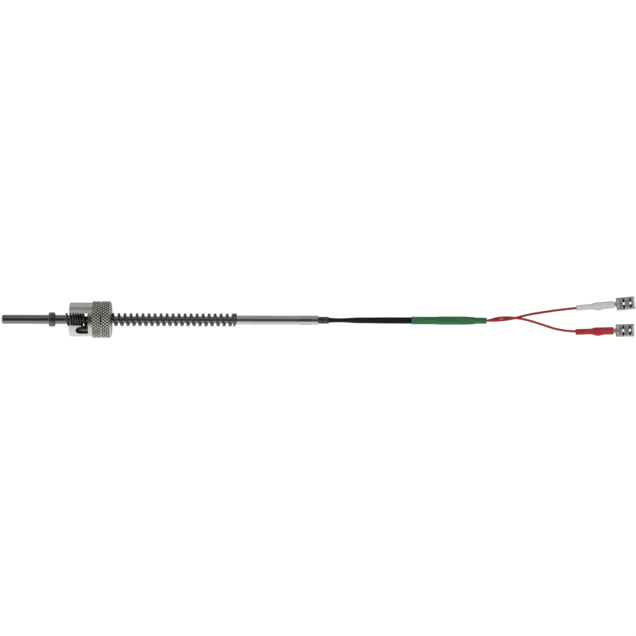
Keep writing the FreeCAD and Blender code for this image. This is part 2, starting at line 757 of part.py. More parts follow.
def make_joint_sleeve():
    """Green heat-shrink sleeve over the two splices, and the splice barrels in it."""
    swell_start = "splice_start - joint_start - joint_swell_margin"
    swell_end = "splice_start - joint_start + splice_length + joint_swell_margin"
    stations = [
        ("0", JOINT_RADIUS),
        (f"{swell_start} - joint_slope", JOINT_RADIUS),
        (swell_start, SWELL_RADIUS),
        (swell_end, SWELL_RADIUS),
        (f"{swell_end} + joint_slope", JOINT_RADIUS),
        (f"{swell_end} + 2 * joint_slope", TAIL_RADIUS),
        ("joint_length", TAIL_RADIUS),
    ]
    inside = [(along, f"{radius} - joint_wall") for along, radius in reversed(stations)]
    turned("green_joint_sleeve", stations + inside, "joint_start", up="tail_level")
    splice_bore = f"{SPLICE_SIDE} - conductor_pitch / 2 + conductor_radius + splice_play"
    for pole, side in (("positive", "1"), ("negative", "-1")):
        tube(
            f"splice_barrel_{pole}",
            "splice_radius",
            splice_bore,
            "splice_length",
            "splice_start",
            f"{side} * {SPLICE_SIDE}",
            "tail_level",
        )


# ---------------------------------------------------------------- leads, boots and receptacles


def make_lead(branch, points, branch_place):
    """One insulated lead with its stranded core, from the splice into the receptacle."""
    spot, turn = branch_place
    path = cord_path(points, f"{branch}_lead")
    start = Vector(*points[0])
    direction = (Vector(*points[1]) - start).normalize()
    hole = size("strand_radius + strand_play")
    ring = disc(size("lead_radius"), start, direction).cut(disc(hole, start, direction))
    shaped(f"{branch}_lead", swept(f"{branch}_lead", path, ring.Faces[0]))

    aim = FreeCAD.Rotation(Vector(0, 0, 1), turn).multVec(X_AXIS)
    far = spot + aim * size(f"{BARREL_END} - strand_short")
    near = start - direction * size("splice_length / 2")
    core_points = [tuple(near), *points[1:-1], tuple(far)]
    core = disc(size("strand_radius"), near, direction)
    shaped(f"{branch}_strands", swept(f"{branch}_strands", cord_path(core_points), core))


def make_boot(branch, extra, branch_place):
    """Soft sleeve pulled over the receptacle's two barrels."""
    spot, turn = branch_place
    entry = f"lead_radius + boot_entry_play + boot_wall + {extra}"
    swell = f"grip_radius + boot_swell_play + boot_wall + {extra}"
    mouth = f"barrel_radius + boot_mouth_play + boot_wall + {extra}"
    stations = [
        ("0", entry),
        ("grip_start - boot_swell_margin - boot_slope", entry),
        ("grip_start - boot_swell_margin", swell),
        ("grip_start + grip_length + boot_swell_margin", swell),
        ("grip_start + grip_length + boot_swell_margin + boot_slope", mouth),
        (f"{BARREL_END} - boot_short", mouth),
    ]
    inside = [(along, f"{radius} - boot_wall") for along, radius in reversed(stations)]
    body = turned(f"{branch}_boot", stations + inside)
    body.Placement = FreeCAD.Placement(spot, FreeCAD.Rotation(Vector(0, 0, 1), turn))


def box_half():
    """One half of the receptacle's box: plate, side bend and a curl whose edge turns back up."""
    top = size("box_top")
    thick = size("sheet_thickness")
    bottom = top - size("box_height")
    bend = size("box_height / 2")
    bend_y = size("box_width / 2") - bend
    curl = size("curl_radius")
    edge = size("curl_gap / 2")
    tip = top - thick - size("blade_thickness")
    x = size(BOX_START)

    def at(y, z):
        return Vector(x, y, z)

    def line(a, b):
        return Part.LineSegment(at(*a), at(*b)).toShape()

    def arc(centre, radius, angles):
        spots = [
            at(centre[0] + radius * math.cos(angle), centre[1] + radius * math.sin(angle))
            for angle in map(math.radians, angles)
        ]
        return Part.Arc(*spots).toShape()

    side = (bend_y, top - bend)
    turn_up = (edge + curl, bottom + curl)
    rim = Part.Wire(
        [
            line((0, top), (bend_y, top)),
            arc(side, bend, (90, 0, -90)),
            line((bend_y, bottom), (edge + curl, bottom)),
            arc(turn_up, curl, (-90, -135, -180)),
            line((edge, bottom + curl), (edge, tip)),
            line((edge, tip), (edge + thick, tip)),
            line((edge + thick, tip), (edge + thick, bottom + curl)),
            arc(turn_up, curl - thick, (-180, -135, -90)),
            line((edge + curl, bottom + thick), (bend_y, bottom + thick)),
            arc(side, bend - thick, (-90, 0, 90)),
            line((bend_y, top - thick), (0, top - thick)),
            line((0, top - thick), (0, top)),
        ]
    )
    return Part.Face(rim).extrude(Vector(size("box_length"), 0, 0))


def make_receptacle(branch, branch_place):
    """Folded receptacle for a flat tab: box with curls, neck, conductor and insulation barrels."""
    spot, turn = branch_place
    half = box_half()
    shell = half.fuse(half.mirror(Vector(), Vector(0, 1, 0)))
    for index in range(2):
        along = size(f"{BOX_START} + window_first + {index} * window_pitch - window_width / 2")
        lowest = size("box_top - sheet_thickness - window_over")
        corner = Vector(along, size("-window_length / 2"), lowest)
        depth = size("sheet_thickness + 2 * window_over")
        shell = shell.cut(Part.makeBox(size("window_width"), size("window_length"), depth, corner))

    def ring(radius, bore, start, length):
        solid = Part.makeCylinder(size(radius), size(length), Vector(size(start), 0, 0), X_AXIS)
        hole = Part.makeCylinder(size(bore), size(length), Vector(size(start), 0, 0), X_AXIS)
        return solid.cut(hole)

    grip = ring("grip_radius", "lead_radius + crimp_play", "grip_start", "grip_length")
    barrel = ring("barrel_radius", "strand_radius + crimp_play", "barrel_start", "barrel_length")
    thick = size("sheet_thickness")
    bridge_top = size("barrel_radius - bridge_drop")
    bridge_start = size("grip_start + grip_length - grip_overlap")
    bridge = Part.makeBox(
        size("barrel_start + barrel_overlap") - bridge_start,
        size("bridge_width"),
        thick,
        Vector(bridge_start, size("-bridge_width / 2"), bridge_top - thick),
    )
    neck_start = size(f"{BARREL_END} - barrel_overlap")
    near = neck_section(neck_start, size("bridge_width"), bridge_top, thick)
    neck_end = size(f"{BOX_START} + neck_overlap")
    far = neck_section(neck_end, size("box_width - box_height"), size("box_top"), thick)
    neck = Part.makeLoft([near, far], True, True)
    solid = shell.multiFuse([neck, barrel, bridge, grip]).removeSplitter()
    shaped(f"{branch}_receptacle", solid, spot, turn)


def neck_section(x, width, top, thick):
    corners = [
        Vector(x, -width / 2, top - thick),
        Vector(x, width / 2, top - thick),
        Vector(x, width / 2, top),
        Vector(x, -width / 2, top),
    ]
    return Part.makePolygon(corners + corners[:1])


# ---------------------------------------------------------------- build and write

make_front_tube()
make_stop_collar()
make_core()
make_spring()
make_bayonet_cap()
make_rear_tube()
make_rear_inside()
make_cable()
make_joint_sleeve()
for branch, points, branch_place, extra in (
    ("white_branch", WHITE_BRANCH_POINTS, WHITE_BRANCH_PLACE, "0"),
    ("red_branch", RED_BRANCH_POINTS, RED_BRANCH_PLACE, "red_boot_extra"),
):
    make_lead(branch, points, branch_place)
    make_boot(branch, extra, branch_place)
    make_receptacle(branch, branch_place)
doc.recompute()

faults = [o.Name for o in doc.Objects if {"Invalid", "Error"} & set(o.State)]
faults += [p.Label for p in PARTS if p.Shape.isNull() or not p.Shape.isValid()]
if faults:
    raise RuntimeError(f"failed: {faults}")

os.makedirs("parts", exist_ok=True)
for part in PARTS:
    print(f"{part.Label}: {len(part.Shape.Solids)} solid, {part.Shape.Volume:.2f} mm3")
    part.Shape.exportStep(f"parts/{part.Label}.step")
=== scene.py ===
"""Spring-loaded bayonet thermocouple, from its tip to its receptacles. Metres, +Z up."""
import math

import bmesh
import bpy
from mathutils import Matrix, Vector


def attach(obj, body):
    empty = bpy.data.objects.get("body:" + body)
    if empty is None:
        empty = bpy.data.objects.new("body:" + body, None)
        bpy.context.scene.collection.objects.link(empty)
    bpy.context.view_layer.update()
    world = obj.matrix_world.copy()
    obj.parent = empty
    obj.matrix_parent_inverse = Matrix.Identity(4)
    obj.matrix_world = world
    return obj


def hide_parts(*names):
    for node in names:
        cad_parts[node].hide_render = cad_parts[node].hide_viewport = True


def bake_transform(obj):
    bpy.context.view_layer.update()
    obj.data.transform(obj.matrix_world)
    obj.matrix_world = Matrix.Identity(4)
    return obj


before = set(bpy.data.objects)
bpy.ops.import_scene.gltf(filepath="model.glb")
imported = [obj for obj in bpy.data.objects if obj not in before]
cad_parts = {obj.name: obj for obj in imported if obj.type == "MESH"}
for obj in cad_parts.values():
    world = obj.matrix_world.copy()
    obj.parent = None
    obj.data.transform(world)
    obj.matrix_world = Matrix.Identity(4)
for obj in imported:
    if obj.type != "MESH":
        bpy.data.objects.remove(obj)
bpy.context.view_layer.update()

# ---------------------------------------------------------------- camera, floor and light
# The part lies on a plain white table. It is seen from straight above through a long lens,
# with a wide soft light beyond it, a weaker one on the near side, and little light overhead.

MM = 0.001
CAMERA_HEIGHT = 1.5855
PART_CENTRE = (0.1207, 0.0010)
CAMERA_ROLL = math.radians(0.17)
OVERHEAD_POWER = 1.35
OVERHEAD_SPREAD = math.radians(60)

camera = bpy.data.objects.new("camera", bpy.data.cameras.new("camera"))
camera.data.lens = 200
camera.data.sensor_width = 36
camera.data.clip_end = 20
camera.location = (*PART_CENTRE, CAMERA_HEIGHT)
camera.rotation_euler = (0, 0, CAMERA_ROLL)
bpy.context.collection.objects.link(camera)
bpy.context.scene.camera = camera


def add(tree, kind, settings=None, inputs=None):
    """A node in the tree. An input is a plain value, or another node's output to link."""
    made = tree.nodes.new(kind)
    for name, value in (settings or {}).items():
        setattr(made, name, value)
    for key, value in (inputs or {}).items():
        if isinstance(value, bpy.types.NodeSocket):
            tree.links.new(value, made.inputs[key])
        else:
            made.inputs[key].default_value = value
    return made


def new_material(name, **shader_inputs):
    """A material with one Principled shader, and that shader."""
    material = bpy.data.materials.new(name)
    material.use_nodes = True
    shader = material.node_tree.nodes["Principled BSDF"]
    for key, value in shader_inputs.items():
        shader.inputs[key.replace("_", " ")].default_value = value
    return material, material.node_tree, shader


def ramp(tree, value, stops):
    """A colour ramp through (place, grey or colour) stops."""
    made = add(tree, "ShaderNodeValToRGB", inputs={"Fac": value})
    elements = made.color_ramp.elements
    elements.remove(elements[1])
    for index, (place, colour) in enumerate(stops):
        element = elements[0] if index == 0 else elements.new(place)
        element.position = place
        element.color = (*colour, 1) if isinstance(colour, tuple) else (colour, colour, colour, 1)
    return made.outputs["Color"]


# How bright the studio is, by the angle from straight up: below zero is the near side.
STUDIO_LIGHT = [
    (-90, 0.90), (-58, 0.80), (-44, 0.58), (-36, 0.38), (-23, 0.13), (-8, 0.05),
    (10, 0.06), (27, 0.18), (38, 0.30), (56, 0.50), (68, 0.40), (78, 0.28), (90, 0.17),
]  # fmt: skip
# Both ends of the part face a light too, by how far along X the direction points.
END_LIGHT = [(0.40, 0.0), (0.75, 0.85)]
world = bpy.data.worlds.new("studio")
world.use_nodes = True
studio = world.node_tree
sky = add(studio, "ShaderNodeTexCoord")
sky_parts = add(studio, "ShaderNodeSeparateXYZ", inputs={0: sky.outputs["Generated"]})
slope = add(
    studio,
    "ShaderNodeMath",
    {"operation": "ARCTAN2"},
    {0: sky_parts.outputs["Y"], 1: sky_parts.outputs["Z"]},
)
turn_share = add(
    studio,
    "ShaderNodeMapRange",
    inputs={"Value": slope.outputs[0], "From Min": -math.pi / 2, "From Max": math.pi / 2},
)
lengthwise = add(
    studio, "ShaderNodeMath", {"operation": "ABSOLUTE"}, {0: sky_parts.outputs["X"]}
)
both_lights = add(
    studio,
    "ShaderNodeMix",
    {"data_type": "RGBA", "blend_type": "LIGHTEN"},
    {
        "Factor": 1.0,
        6: ramp(
            studio,
            turn_share.outputs[0],
            [(angle / 180 + 0.5, grey) for angle, grey in STUDIO_LIGHT],
        ),
        7: ramp(studio, lengthwise.outputs[0], END_LIGHT),
    },
)
studio.links.new(both_lights.outputs[2], studio.nodes["Background"].inputs["Color"])
bpy.context.scene.world = world
bpy.context.scene.view_settings.view_transform = "Standard"

# The dull surfaces are lit from overhead too; the metal doesn't show that lamp.
overhead = bpy.data.objects.new("overhead", bpy.data.lights.new("overhead", "SUN"))
overhead.data.energy = OVERHEAD_POWER
overhead.data.angle = OVERHEAD_SPREAD
overhead.visible_glossy = False
overhead.location = (*PART_CENTRE, 0.5)
bpy.context.collection.objects.link(overhead)

FLOOR_LEVEL = -8.3 * MM
FLOOR_REACH = 4.0
# Painted light: the table's colour is lighter and its glow stronger on the near side of the part
# than on the far side, for how the light falls across it.
TABLE_NEAR, TABLE_FAR = -0.012, 0.014
TABLE_PAINTED_GREY = [(0.0, 0.55), (1.0, 0.44)]
TABLE_GLOW = [(0.0, 0.45), (1.0, 0.10)]
# Looked at directly it is burnt out to white, with a trace of shadow left.
WHITE_LEVEL = 1.07
WHITE_SHARE = 0.94
floor_mesh = bpy.data.meshes.new("floor")
floor_mesh.from_pydata(
    [
        (x * FLOOR_REACH, y * FLOOR_REACH, FLOOR_LEVEL)
        for x, y in ((-1, -1), (1, -1), (1, 1), (-1, 1))
    ],
    [],
    [(0, 1, 2, 3)],
)
floor = bpy.data.objects.new("floor", floor_mesh)
bpy.context.collection.objects.link(floor)
table_material, table, table_shader = new_material(
    "white_table", Roughness=0.9, Emission_Color=(1, 1, 1, 1)
)
table_place = add(table, "ShaderNodeTexCoord")
table_parts = add(table, "ShaderNodeSeparateXYZ", inputs={0: table_place.outputs["Object"]})
table_tone = add(
    table,
    "ShaderNodeMapRange",
    inputs={"Value": table_parts.outputs["Y"], "From Min": TABLE_NEAR, "From Max": TABLE_FAR},
)
table.links.new(
    ramp(table, table_tone.outputs[0], TABLE_PAINTED_GREY), table_shader.inputs["Base Color"]
)
table.links.new(
    ramp(table, table_tone.outputs[0], TABLE_GLOW), table_shader.inputs["Emission Strength"]
)
burnt_out = add(
    table, "ShaderNodeEmission", inputs={"Color": (1, 1, 1, 1), "Strength": WHITE_LEVEL}
)
seen = add(table, "ShaderNodeLightPath")
seen_share = add(
    table,
    "ShaderNodeMath",
    {"operation": "MULTIPLY"},
    {0: seen.outputs["Is Camera Ray"], 1: WHITE_SHARE},
)
table_mix = add(
    table,
    "ShaderNodeMixShader",
    inputs={0: seen_share.outputs[0], 1: table_shader.outputs[0], 2: burnt_out.outputs[0]},
)
table.links.new(table_mix.outputs[0], table.nodes["Material Output"].inputs["Surface"])
floor_mesh.materials.append(table_material)

# ---------------------------------------------------------------- mineral-insulated core
# A thin drawn steel sheath packed with white oxide powder round two thermocouple wires, whose
# welded ends are the hot junction. It runs through the spring into the rear tube.


def noise(tree, place, scale, detail=3.0, roughness=0.55):
    made = add(
        tree,
        "ShaderNodeTexNoise",
        inputs={"Vector": place, "Scale": scale, "Detail": detail, "Roughness": roughness},
    )
    return made.outputs["Fac"]


def stretched(tree, kind, scale):
    """Object or UV coordinates, scaled by a different number each way."""
    place = add(tree, "ShaderNodeTexCoord")
    mapping = add(
        tree, "ShaderNodeMapping", inputs={"Vector": place.outputs[kind], "Scale": scale}
    )
    return mapping.outputs[0]


def scaled(tree, value, low, high, out_low, out_high):
    made = add(
        tree,
        "ShaderNodeMapRange",
        inputs={
            "Value": value,
            "From Min": low,
            "From Max": high,
            "To Min": out_low,
            "To Max": out_high,
        },
    )
    return made.outputs[0]


def blended(tree, share, first, second):
    made = add(
        tree,
        "ShaderNodeMix",
        {"data_type": "RGBA"},
        {"Factor": share, 6: (*first, 1), 7: (*second, 1)},
    )
    return made.outputs[2]


def bumped(tree, shader, height, strength, distance):
    made = add(
        tree,
        "ShaderNodeBump",
        inputs={"Height": height, "Strength": strength, "Distance": distance},
    )
    tree.links.new(made.outputs[0], shader.inputs["Normal"])


def turned_metal(name, colour, stain, roughness, mark=2600.0, mark_depth=0.12):
    """Metal turned or drawn along X: fine rings round it, and soft stains over it."""
    material, tree, shader = new_material(name, Metallic=1.0)
    rings = noise(tree, stretched(tree, "Object", (mark, 90, 90)), 1.0, 2.0)
    stains = noise(tree, stretched(tree, "Object", (90, 260, 260)), 1.0, 4.0)
    share = scaled(tree, stains, 0.35, 0.68, 0.0, 1.0)
    tree.links.new(blended(tree, share, colour, stain), shader.inputs["Base Color"])
    dull = scaled(tree, rings, 0.3, 0.7, roughness * 0.8, roughness * 1.25)
    tree.links.new(dull, shader.inputs["Roughness"])
    bumped(tree, shader, rings, mark_depth, 0.02 * MM)
    return material


def paint(node, material):
    """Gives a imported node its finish."""
    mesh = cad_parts[node].data
    mesh.materials.clear()
    mesh.materials.append(material)


dark_steel = turned_metal("dark_burnished_steel", (0.30, 0.295, 0.27), (0.22, 0.22, 0.205), 0.15)
wire_alloy = turned_metal("thermocouple_wire", (0.48, 0.46, 0.42), (0.36, 0.35, 0.33), 0.30)
powder, powder_tree, powder_shader = new_material("oxide_powder", Roughness=0.95)
grains = noise(powder_tree, stretched(powder_tree, "Object", (1, 1, 1)), 9000.0, 2.0)
powder_tree.links.new(
    blended(powder_tree, grains, (0.90, 0.89, 0.85), (0.78, 0.77, 0.72)),
    powder_shader.inputs["Base Color"],
)
bumped(powder_tree, powder_shader, grains, 0.4, 0.05 * MM)
paint("core_sheath", dark_steel)
paint("mineral_insulation", powder)
for node in ("hot_junction", "thermowire_positive", "thermowire_negative"):
    paint(node, wire_alloy)

# ---------------------------------------------------------------- front tube and stop collar
# A closed tube of dark burnished steel protects the core's tip. The collar is a turned ring
# swaged into a groove round it: it bottoms on the seat and keeps the cap on the probe.

collar_steel = turned_metal("dull_collar_steel", (0.20, 0.195, 0.19), (0.13, 0.13, 0.13), 0.34)
paint("front_tube", dark_steel)
paint("stop_collar", collar_steel)

# ---------------------------------------------------------------- compression spring
# Right-handed round-wire spring of oiled dark steel. Its close-wound front grips the tube's
# turned-down end, its open turns carry the cap, and its last turn seats on the rear tube.
# It is in two lengths that meet in the cap's thread.

WIRE_RADIUS = 0.525 * MM
COIL_RADIUS = 2.52 * MM
SPRING_START = 7.88 * MM
SPRING_STRETCHES = [(1.70 * MM, 1), (1.13 * MM, 5), (2.6955 * MM, 25), (1.13 * MM, 1)]
CAP_TURN = 9.5
POINTS_PER_TURN = 28
WIRE_SIDES = 14


def new_tree(name, sizes):
    """A Geometry Nodes tree with one named input for each size, its inputs and its output."""
    tree = bpy.data.node_groups.new(name, "GeometryNodeTree")
    tree.interface.new_socket("Geometry", in_out="OUTPUT", socket_type="NodeSocketGeometry")
    for label, kind in sizes.items():
        tree.interface.new_socket(label, in_out="INPUT", socket_type=f"NodeSocket{kind}")
    inputs = add(tree, "NodeGroupInput").outputs
    return tree, inputs, add(tree, "NodeGroupOutput")


def math_node(tree, operation, first, second=0.0):
    return add(tree, "ShaderNodeMath", {"operation": operation}, {0: first, 1: second}).outputs[0]


def finish_tree(tree, geometry, material, output, smooth):
    """Ends a tree: shading, real instances and the finish."""
    shade = add(
        tree, "GeometryNodeSetShadeSmooth", inputs={"Geometry": geometry, "Shade Smooth": smooth}
    )
    real = add(tree, "GeometryNodeRealizeInstances", inputs={0: shade.outputs[0]})
    finished = add(
        tree, "GeometryNodeSetMaterial", inputs={"Geometry": real.outputs[0], "Material": material}
    )
    tree.links.new(finished.outputs[0], output.inputs[0])


def grown(name, tree, values):
    """The tree's result with these input values, as a plain mesh object."""
    made = bpy.data.objects.new(name, bpy.data.meshes.new(name))
    bpy.context.collection.objects.link(made)
    modifier = made.modifiers.new(name, "NODES")
    modifier.node_group = tree
    for socket in tree.interface.items_tree:
        if socket.in_out == "INPUT":
            modifier[socket.identifier] = values[socket.name]
    depsgraph = bpy.context.evaluated_depsgraph_get()
    result = bpy.data.meshes.new_from_object(
        made.evaluated_get(depsgraph), preserve_all_data_layers=True, depsgraph=depsgraph
    )
    made.modifiers.remove(modifier)
    made.data = result
    return made


spring_tree, sizes, spring_output = new_tree(
    "wound_spring",
    {
        "Points": "Int",
        "First Turn": "Float",
        "Last Turn": "Float",
        "Coil Radius": "Float",
        "Wire Radius": "Float",
        "Start": "Float",
        "Material": "Material",
    },
)
# The wire's line: its place along the axis grows by each stretch's own pitch.
line = add(spring_tree, "GeometryNodeMeshLine", inputs={"Count": sizes["Points"]})
step = add(spring_tree, "GeometryNodeInputIndex").outputs[0]
last_step = math_node(spring_tree, "SUBTRACT", sizes["Points"], 1.0)
turn = scaled(spring_tree, step, 0.0, last_step, sizes["First Turn"], sizes["Last Turn"])
along = sizes["Start"]
begun = 0
for pitch, turns in SPRING_STRETCHES:
    stretch = scaled(spring_tree, turn, begun, begun + turns, 0.0, pitch * turns)
    along = math_node(spring_tree, "ADD", along, stretch)
    begun += turns
angle = math_node(spring_tree, "MULTIPLY", turn, 2 * math.pi)
across = math_node(
    spring_tree, "MULTIPLY", math_node(spring_tree, "COSINE", angle), sizes["Coil Radius"]
)
height = math_node(
    spring_tree, "MULTIPLY", math_node(spring_tree, "SINE", angle), sizes["Coil Radius"]
)
spot = add(spring_tree, "ShaderNodeCombineXYZ", inputs={0: along, 1: across, 2: height})
helix = add(
    spring_tree,
    "GeometryNodeSetPosition",
    inputs={"Geometry": line.outputs[0], "Position": spot.outputs[0]},
)
wire_path = add(spring_tree, "GeometryNodeMeshToCurve", inputs={0: helix.outputs[0]})
wire_section = add(
    spring_tree,
    "GeometryNodeCurvePrimitiveCircle",
    inputs={"Resolution": WIRE_SIDES, "Radius": sizes["Wire Radius"]},
)
wire = add(
    spring_tree,
    "GeometryNodeCurveToMesh",
    inputs={
        "Curve": wire_path.outputs[0],
        "Profile Curve": wire_section.outputs[0],
        "Fill Caps": True,
    },
)
finish_tree(spring_tree, wire.outputs[0], sizes["Material"], spring_output, True)

spring_steel, spring_nodes, spring_shader = new_material("oiled_spring_steel", Metallic=1.0)
scale = noise(spring_nodes, stretched(spring_nodes, "Object", (700, 700, 700)), 1.0, 4.0)
oil_film = scaled(spring_nodes, scale, 0.4, 0.65, 0, 1)
spring_nodes.links.new(
    blended(spring_nodes, oil_film, (0.115, 0.115, 0.12), (0.19, 0.19, 0.19)),
    spring_shader.inputs["Base Color"],
)
spring_nodes.links.new(
    scaled(spring_nodes, scale, 0.3, 0.7, 0.24, 0.42), spring_shader.inputs["Roughness"]
)
bumped(spring_nodes, spring_shader, scale, 0.10, 0.03 * MM)

total_turns = sum(turns for _, turns in SPRING_STRETCHES)
spring_pieces = {}
for name, first_turn, last_turn in (
    ("spring_front_coils", 0.0, CAP_TURN),
    ("spring_rear_coils", CAP_TURN, float(total_turns)),
):
    spring_pieces[name] = grown(
        name,
        spring_tree,
        {
            "Points": round((last_turn - first_turn) * POINTS_PER_TURN) + 1,
            "First Turn": first_turn,
            "Last Turn": last_turn,
            "Coil Radius": COIL_RADIUS,
            "Wire Radius": WIRE_RADIUS,
            "Start": SPRING_START,
            "Material": spring_steel,
        },
    )
    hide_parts("compression_spring")
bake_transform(spring_pieces["spring_front_coils"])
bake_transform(spring_pieces["spring_rear_coils"])

# ---------------------------------------------------------------- bayonet cap
# Turned brass cap with bright nickel plate: a bore for the adapter, two J slots for its pins,
# and a thread at the back that screws along the open spring. Two diamond-knurled bands, with
# a plain groove between them, are rolled on after turning.

CAP_FRONT = 9.4 * MM
CAP_BODY = 10.3 * MM
KNURL_BAND = 3.6 * MM
KNURL_GAP = 0.65 * MM
BAND_BODY_RADIUS = 7.9 * MM
KNURL_ROOT = 8.06 * MM
KNURL_DEPTH = 0.24 * MM
KNURL_TEETH = 38
KNURL_ROWS = 4
STEPS_PER_HALF = 4
GROOVE_SHARE = 0.40
# Painted shade in the knurl's grooves: share of colour left by height above the root.
GROOVE_PAINTED_SHADE = [(0.0, 0.02), (0.44, 0.03), (0.56, 1.0)]
CAP_REACH = 8.3 * MM
# Painted shade: how much of the plate's colour is left, by distance from the axis in mm, darker in
# the bore, the slots and the groove between the knurled bands.
CAP_PAINTED_SHADE = [(6.0, 0.30), (7.3, 0.14), (7.5, 1.0), (7.72, 1.0), (7.85, 0.55)]
CAP_SHARP_EDGE = math.radians(28)
ROUND_FACE = 0.985


def nickel_plate(name, bright, dull, low, high):
    """Bright plate over turning marks, clouded by handling."""
    material, tree, shader = new_material(name, Metallic=1.0)
    marks = noise(tree, stretched(tree, "Object", (2300, 40, 40)), 1.0, 2.0)
    clouds = noise(tree, stretched(tree, "Object", (200, 200, 200)), 1.0, 3.0)
    share = scaled(tree, clouds, 0.35, 0.65, 0.0, 1.0)
    tree.links.new(scaled(tree, marks, 0.3, 0.7, low, high), shader.inputs["Roughness"])
    bumped(tree, shader, marks, 0.16, 0.02 * MM)
    return material, tree, shader, blended(tree, share, bright, dull)


def axis_distance(tree):
    """How far the surface is from the probe's axis."""
    place = add(tree, "ShaderNodeTexCoord")
    parts = add(tree, "ShaderNodeSeparateXYZ", inputs={0: place.outputs["Object"]})
    across = math_node(tree, "POWER", parts.outputs["Y"], 2.0)
    up = math_node(tree, "POWER", parts.outputs["Z"], 2.0)
    return math_node(tree, "SQRT", math_node(tree, "ADD", across, up))


def toned(tree, shader, colour, stops):
    """The colour made darker by the distance from the axis, given in stops of (radius, share)."""
    reach = scaled(tree, axis_distance(tree), 0.0, CAP_REACH, 0.0, 1.0)
    shade = ramp(tree, reach, [(radius / CAP_REACH, share) for radius, share in stops])
    made = add(
        tree,
        "ShaderNodeMix",
        {"data_type": "RGBA", "blend_type": "MULTIPLY"},
        {"Factor": 1.0, 6: colour, 7: shade},
    )
    tree.links.new(made.outputs[2], shader.inputs["Base Color"])


# Painted shade: the plate is made darker down in the bore and the slots, and on the plain groove
# between the knurled bands.
nickel, nickel_tree, nickel_shader, plate = nickel_plate(
    "nickel_plate", (0.74, 0.73, 0.695), (0.64, 0.63, 0.595), 0.12, 0.24
)
toned(
    nickel_tree,
    nickel_shader,
    plate,
    [(radius * MM, share) for radius, share in CAP_PAINTED_SHADE],
)

# Painted shade: the knurl's colour is made darker down in its grooves.
knurl_plate, knurl_shade_nodes, knurl_shader, worn = nickel_plate(
    "knurled_nickel_plate", (0.90, 0.89, 0.83), (0.78, 0.77, 0.71), 0.16, 0.26
)
knurl_shader.inputs["Metallic"].default_value = 0.75
toned(
    knurl_shade_nodes,
    knurl_shader,
    worn,
    [(KNURL_ROOT + depth * KNURL_DEPTH, share) for depth, share in GROOVE_PAINTED_SHADE],
)

knurl_tree, sizes, knurl_output = new_tree(
    "diamond_knurl",
    {
        "Teeth": "Int",
        "Rows": "Int",
        "Root Radius": "Float",
        "End Radius": "Float",
        "Depth": "Float",
        "Start": "Float",
        "Length": "Float",
        "Material": "Material",
    },
)
round_steps = math_node(knurl_tree, "MULTIPLY", sizes["Teeth"], 2.0 * STEPS_PER_HALF)
round_points = math_node(knurl_tree, "ADD", round_steps, 1.0)
last_row = math_node(
    knurl_tree, "ADD", math_node(knurl_tree, "MULTIPLY", sizes["Rows"], STEPS_PER_HALF), 1.0
)
band = add(
    knurl_tree,
    "GeometryNodeMeshGrid",
    inputs={
        "Vertices X": math_node(knurl_tree, "ADD", last_row, 2.0),
        "Vertices Y": round_points,
    },
)
point = add(knurl_tree, "GeometryNodeInputIndex").outputs[0]
row = math_node(knurl_tree, "FLOOR", math_node(knurl_tree, "DIVIDE", point, round_points))
column = math_node(knurl_tree, "MODULO", point, round_points)
# Two sets of grooves cross. A point rises with its distance from the nearer one, up to the flat.
from_grooves = []
for operation in ("ADD", "SUBTRACT"):
    crossing = math_node(knurl_tree, operation, column, math_node(knurl_tree, "SUBTRACT", row, 1.0))
    pitches = math_node(knurl_tree, "DIVIDE", crossing, 2.0 * STEPS_PER_HALF)
    from_grooves.append(math_node(knurl_tree, "PINGPONG", pitches, 0.5))
nearest_groove = math_node(knurl_tree, "MINIMUM", *from_grooves)
raised = scaled(knurl_tree, nearest_groove, 0.0, GROOVE_SHARE, 0.0, 1.0)
# The first and last rows turn down into the cap's body.
inside_start = math_node(knurl_tree, "GREATER_THAN", row, 0.5)
inside_end = math_node(
    knurl_tree, "LESS_THAN", row, math_node(knurl_tree, "ADD", last_row, 0.5)
)
inside = math_node(knurl_tree, "MULTIPLY", inside_start, inside_end)
ridge = math_node(knurl_tree, "MULTIPLY", raised, sizes["Depth"])
above_end = math_node(
    knurl_tree,
    "ADD",
    math_node(knurl_tree, "SUBTRACT", sizes["Root Radius"], sizes["End Radius"]),
    ridge,
)
tooth_radius = math_node(
    knurl_tree, "ADD", sizes["End Radius"], math_node(knurl_tree, "MULTIPLY", inside, above_end)
)
tooth_angle = scaled(knurl_tree, column, 0.0, round_steps, 2 * math.pi, 0.0)
tooth_spot = add(
    knurl_tree,
    "ShaderNodeCombineXYZ",
    inputs={
        0: math_node(
            knurl_tree,
            "ADD",
            sizes["Start"],
            scaled(knurl_tree, row, 1.0, last_row, 0.0, sizes["Length"]),
        ),
        1: math_node(
            knurl_tree, "MULTIPLY", math_node(knurl_tree, "COSINE", tooth_angle), tooth_radius
        ),
        2: math_node(
            knurl_tree, "MULTIPLY", math_node(knurl_tree, "SINE", tooth_angle), tooth_radius
        ),
    },
)
cut_band = add(
    knurl_tree,
    "GeometryNodeSetPosition",
    inputs={"Geometry": band.outputs[0], "Position": tooth_spot.outputs[0]},
)
closed_band = add(
    knurl_tree,
    "GeometryNodeMergeByDistance",
    inputs={"Geometry": cut_band.outputs[0], "Distance": 0.001 * MM},
)
faceted = add(
    knurl_tree,
    "GeometryNodeTriangulate",
    {"quad_method": "SHORTEST_DIAGONAL"},
    {0: closed_band.outputs[0]},
)
finish_tree(knurl_tree, faceted.outputs[0], sizes["Material"], knurl_output, False)


def loose_copy(node, name):
    """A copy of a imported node's mesh with its corners joined, ready to be reshaped."""
    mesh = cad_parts[node].data.copy()
    mesh.name = name
    work = bmesh.new()
    work.from_mesh(mesh)
    bmesh.ops.remove_doubles(work, verts=work.verts, dist=0.0005 * MM)
    work.to_mesh(mesh)
    work.free()
    copy = bpy.data.objects.new(name, mesh)
    bpy.context.collection.objects.link(copy)
    return copy


